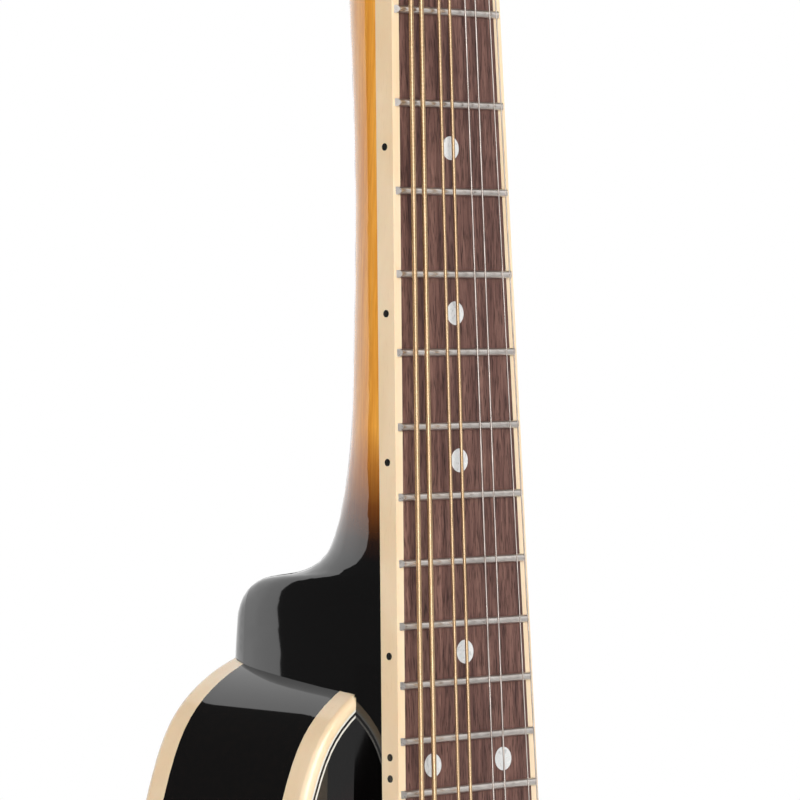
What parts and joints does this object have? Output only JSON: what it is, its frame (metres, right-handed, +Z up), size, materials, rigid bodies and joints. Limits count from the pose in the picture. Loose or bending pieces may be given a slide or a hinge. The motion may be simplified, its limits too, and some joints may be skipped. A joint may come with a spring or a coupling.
{
  "type": "mandolin",
  "caption": "Arch-topped bouzouki-family mandolin with double courses, sunburst neck, cream binding, geared tuners, adjustable bridge and sliding tailpiece cover.",
  "frame": {"origin": "on the strap button's axis, at the middle of its round head", "axes": "+Z up the instrument from tail to headstock, the soundboard faces -Y, +X is the treble side"},
  "size_m": [0.2546, 0.0863, 0.6476],
  "materials": {
    "neck_lacquer": "sunburst maple under gloss lacquer, amber fading to black at the heel",
    "rib_lacquer": "black gloss lacquer",
    "top_lacquer": "spruce, sunburst gloss lacquer",
    "back_lacquer": "maple, sunburst gloss lacquer",
    "inner_wood": "bare wood",
    "cream_plastic": "gloss",
    "white_plastic": "gloss",
    "black_plastic": "gloss",
    "rosewood": "oiled, satin",
    "ebony": "satin",
    "pearl": "pearly gloss",
    "nickel_silver": "polished",
    "nickel_plate": "polished",
    "bronze_wound": "wound, satin",
    "plain_steel": "bright",
    "bone": "satin",
    "gear_brass": "satin",
    "steel_rod": "plain"
  },
  "bodies": {
    "instrument": {"neck": "neck_lacquer", "rib_bass": "rib_lacquer", "rib_treble": "rib_lacquer", "neck_block": "inner_wood", "tail_block": "inner_wood", "linings": "inner_wood", "top_plate": "top_lacquer", "back_plate": "back_lacquer", "tone_bars": "inner_wood", "top_binding": "cream_plastic", "back_binding": "cream_plastic", "top_purfling_white": "white_plastic", "top_purfling_black": "black_plastic", "fretboard": "rosewood", "fretboard_binding": "cream_plastic", "side_dots": "black_plastic", "position_dots": "pearl", "frets": "nickel_silver", "string_g1": "bronze_wound", "string_g2": "bronze_wound", "string_d1": "bronze_wound", "string_d2": "bronze_wound", "string_a1": "plain_steel", "string_a2": "plain_steel", "string_e1": "plain_steel", "string_e2": "plain_steel", "nut": "bone", "headstock_overlay": "black_plastic", "truss_rod_cover": "black_plastic", "truss_cover_screws": "nickel_plate", "truss_rod": "steel_rod", "tuner_plates": "nickel_plate", "tuner_plate_screws": "nickel_plate", "post_bushings": "nickel_plate", "bridge_posts": "gear_brass", "bridge_base": "ebony", "tailpiece_base": "nickel_plate", "tailpiece_screws": "nickel_plate", "strap_button": "nickel_plate"},
    "post_bass_1": {"tuner_post_bass_1": "nickel_plate"},
    "key_bass_1": {"tuner_key_bass_1": "nickel_plate"},
    "post_bass_2": {"tuner_post_bass_2": "nickel_plate"},
    "key_bass_2": {"tuner_key_bass_2": "nickel_plate"},
    "post_bass_3": {"tuner_post_bass_3": "nickel_plate"},
    "key_bass_3": {"tuner_key_bass_3": "nickel_plate"},
    "post_bass_4": {"tuner_post_bass_4": "nickel_plate"},
    "key_bass_4": {"tuner_key_bass_4": "nickel_plate"},
    "post_treble_1": {"tuner_post_treble_1": "nickel_plate"},
    "key_treble_1": {"tuner_key_treble_1": "nickel_plate"},
    "post_treble_2": {"tuner_post_treble_2": "nickel_plate"},
    "key_treble_2": {"tuner_key_treble_2": "nickel_plate"},
    "post_treble_3": {"tuner_post_treble_3": "nickel_plate"},
    "key_treble_3": {"tuner_key_treble_3": "nickel_plate"},
    "post_treble_4": {"tuner_post_treble_4": "nickel_plate"},
    "key_treble_4": {"tuner_key_treble_4": "nickel_plate"},
    "saddle": {"bridge_saddle": "ebony"},
    "wheel_bass": {"thumbwheel_bass": "gear_brass"},
    "wheel_treble": {"thumbwheel_treble": "gear_brass"},
    "tailpiece_cover": {"tailpiece_cover": "nickel_plate"},
    "truss_rod_nut": {"truss_rod_nut": "gear_brass"}
  },
  "joints": [
    {"name": "key_bass_1_turn", "type": "hinge", "parent": "instrument", "child": "key_bass_1", "pos_m": [-0.021, 0.00831, 0.54792], "axis": [1, 0, 0], "continuous": true},
    {"name": "post_bass_1_turn", "type": "hinge", "parent": "instrument", "child": "post_bass_1", "pos_m": [-0.021, -0.01193, 0.54564], "axis": [0, 0.9532, -0.3024], "continuous": true},
    {"name": "key_bass_2_turn", "type": "hinge", "parent": "instrument", "child": "key_bass_2", "pos_m": [-0.021, 0.01526, 0.56985], "axis": [1, 0, 0], "continuous": true},
    {"name": "post_bass_2_turn", "type": "hinge", "parent": "instrument", "child": "post_bass_2", "pos_m": [-0.021, -0.00498, 0.56756], "axis": [0, 0.9532, -0.3024], "continuous": true},
    {"name": "key_bass_3_turn", "type": "hinge", "parent": "instrument", "child": "key_bass_3", "pos_m": [-0.021, 0.02222, 0.59177], "axis": [1, 0, 0], "continuous": true},
    {"name": "post_bass_3_turn", "type": "hinge", "parent": "instrument", "child": "post_bass_3", "pos_m": [-0.021, 0.00198, 0.58948], "axis": [0, 0.9532, -0.3024], "continuous": true},
    {"name": "key_bass_4_turn", "type": "hinge", "parent": "instrument", "child": "key_bass_4", "pos_m": [-0.021, 0.02917, 0.61369], "axis": [1, 0, 0], "continuous": true},
    {"name": "post_bass_4_turn", "type": "hinge", "parent": "instrument", "child": "post_bass_4", "pos_m": [-0.021, 0.00893, 0.61141], "axis": [0, 0.9532, -0.3024], "continuous": true},
    {"name": "key_treble_1_turn", "type": "hinge", "parent": "instrument", "child": "key_treble_1", "pos_m": [0.021, 0.00831, 0.54792], "axis": [1, 0, 0], "continuous": true},
    {"name": "post_treble_1_turn", "type": "hinge", "parent": "instrument", "child": "post_treble_1", "pos_m": [0.021, -0.01193, 0.54564], "axis": [0, 0.9532, -0.3024], "continuous": true},
    {"name": "key_treble_2_turn", "type": "hinge", "parent": "instrument", "child": "key_treble_2", "pos_m": [0.021, 0.01526, 0.56985], "axis": [1, 0, 0], "continuous": true},
    {"name": "post_treble_2_turn", "type": "hinge", "parent": "instrument", "child": "post_treble_2", "pos_m": [0.021, -0.00498, 0.56756], "axis": [0, 0.9532, -0.3024], "continuous": true},
    {"name": "key_treble_3_turn", "type": "hinge", "parent": "instrument", "child": "key_treble_3", "pos_m": [0.021, 0.02222, 0.59177], "axis": [1, 0, 0], "continuous": true},
    {"name": "post_treble_3_turn", "type": "hinge", "parent": "instrument", "child": "post_treble_3", "pos_m": [0.021, 0.00198, 0.58948], "axis": [0, 0.9532, -0.3024], "continuous": true},
    {"name": "key_treble_4_turn", "type": "hinge", "parent": "instrument", "child": "key_treble_4", "pos_m": [0.021, 0.02917, 0.61369], "axis": [1, 0, 0], "continuous": true},
    {"name": "post_treble_4_turn", "type": "hinge", "parent": "instrument", "child": "post_treble_4", "pos_m": [0.021, 0.00893, 0.61141], "axis": [0, 0.9532, -0.3024], "continuous": true},
    {"name": "saddle_height", "type": "slide", "parent": "instrument", "child": "saddle", "axis": [0, -1, 0], "range_m": [-0.0019, 0]},
    {"name": "thumbwheel_bass_turn", "type": "hinge", "parent": "saddle", "child": "wheel_bass", "pos_m": [-0.029, -0.0441, 0.1535], "axis": [0, -1, 0], "range_deg": [-980, 2]},
    {"name": "thumbwheel_treble_turn", "type": "hinge", "parent": "saddle", "child": "wheel_treble", "pos_m": [0.029, -0.0441, 0.1535], "axis": [0, -1, 0], "range_deg": [-980, 2]},
    {"name": "tailpiece_cover_slide", "type": "slide", "parent": "instrument", "child": "tailpiece_cover", "axis": [0, 0.1564, -0.9877], "range_m": [0, 0.04]},
    {"name": "truss_rod_nut_turn", "type": "hinge", "parent": "instrument", "child": "truss_rod_nut", "pos_m": [0, -0.01354, 0.51831], "axis": [0, 0.0628, 0.998], "range_deg": [-180, 180]}
  ],
  "couplings": [
    {"joint": "post_bass_1_turn", "follows": "key_bass_1_turn", "ratio": -0.066667},
    {"joint": "post_bass_2_turn", "follows": "key_bass_2_turn", "ratio": -0.066667},
    {"joint": "post_bass_3_turn", "follows": "key_bass_3_turn", "ratio": -0.066667},
    {"joint": "post_bass_4_turn", "follows": "key_bass_4_turn", "ratio": -0.066667},
    {"joint": "post_treble_1_turn", "follows": "key_treble_1_turn", "ratio": -0.066667},
    {"joint": "post_treble_2_turn", "follows": "key_treble_2_turn", "ratio": -0.066667},
    {"joint": "post_treble_3_turn", "follows": "key_treble_3_turn", "ratio": -0.066667},
    {"joint": "post_treble_4_turn", "follows": "key_treble_4_turn", "ratio": -0.066667},
    {"joint": "thumbwheel_bass_turn", "follows": "saddle_height", "rad_per_m": 8976},
    {"joint": "thumbwheel_treble_turn", "follows": "saddle_height", "rad_per_m": 8976}
  ]
}
